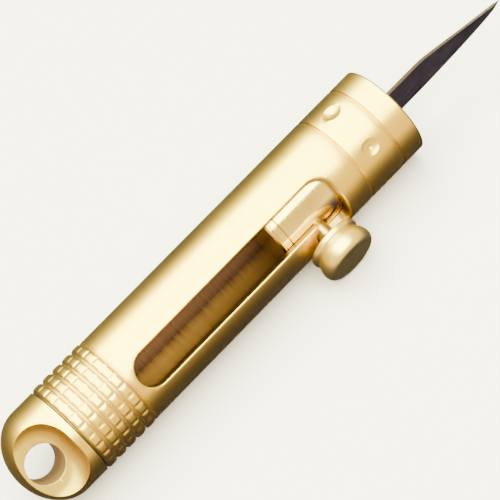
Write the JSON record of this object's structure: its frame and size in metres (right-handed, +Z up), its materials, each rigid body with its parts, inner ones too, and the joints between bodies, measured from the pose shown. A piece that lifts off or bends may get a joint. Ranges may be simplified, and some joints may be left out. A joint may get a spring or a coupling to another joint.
{
  "type": "bolt-action pocket knife",
  "caption": "Brass tube pocket knife with a sprung blade carriage, a side knob that locks in a hooked slot, ridged grip bands and a domed tail cap drilled for a ring.",
  "frame": {"origin": "centre of the knife's outline seen from above, on the surface it lies on", "axes": "+X along the handle to the blade tip, +Z up; the knife lies on its side with the locked knob towards -Y and a little below the handle's axis"},
  "size_m": [0.0856, 0.0178, 0.0133],
  "materials": {
    "brass": "fine satin, bead blasted",
    "polished_brass": "turned and polished",
    "blade_steel": "dark satin with a bright ground bevel",
    "spring_steel": "drawn wire",
    "seal_rubber": "matt black"
  },
  "bodies": {
    "handle": {"barrel": "brass", "tail_cap": "brass", "tail_cap_oring": "seal_rubber", "return_spring": "spring_steel"},
    "slider": {"thrust_washer": "polished_brass"},
    "carriage": {"blade_carrier": "polished_brass", "carrier_end_plug": "polished_brass", "blade": "blade_steel", "bolt_stud": "brass", "knob_collar": "brass", "bolt_knob": "brass"}
  },
  "joints": [
    {"name": "bolt_slide", "type": "slide", "parent": "handle", "child": "slider", "axis": [1, 0, 0], "range_m": [-0.0279, 0.0022], "deforming": ["return_spring"]},
    {"name": "bolt_turn", "type": "hinge", "parent": "slider", "child": "carriage", "pos_m": [0, 0.00221, 0.00666], "axis": [1, 0, 0], "range_deg": [-54, 0]}
  ]
}
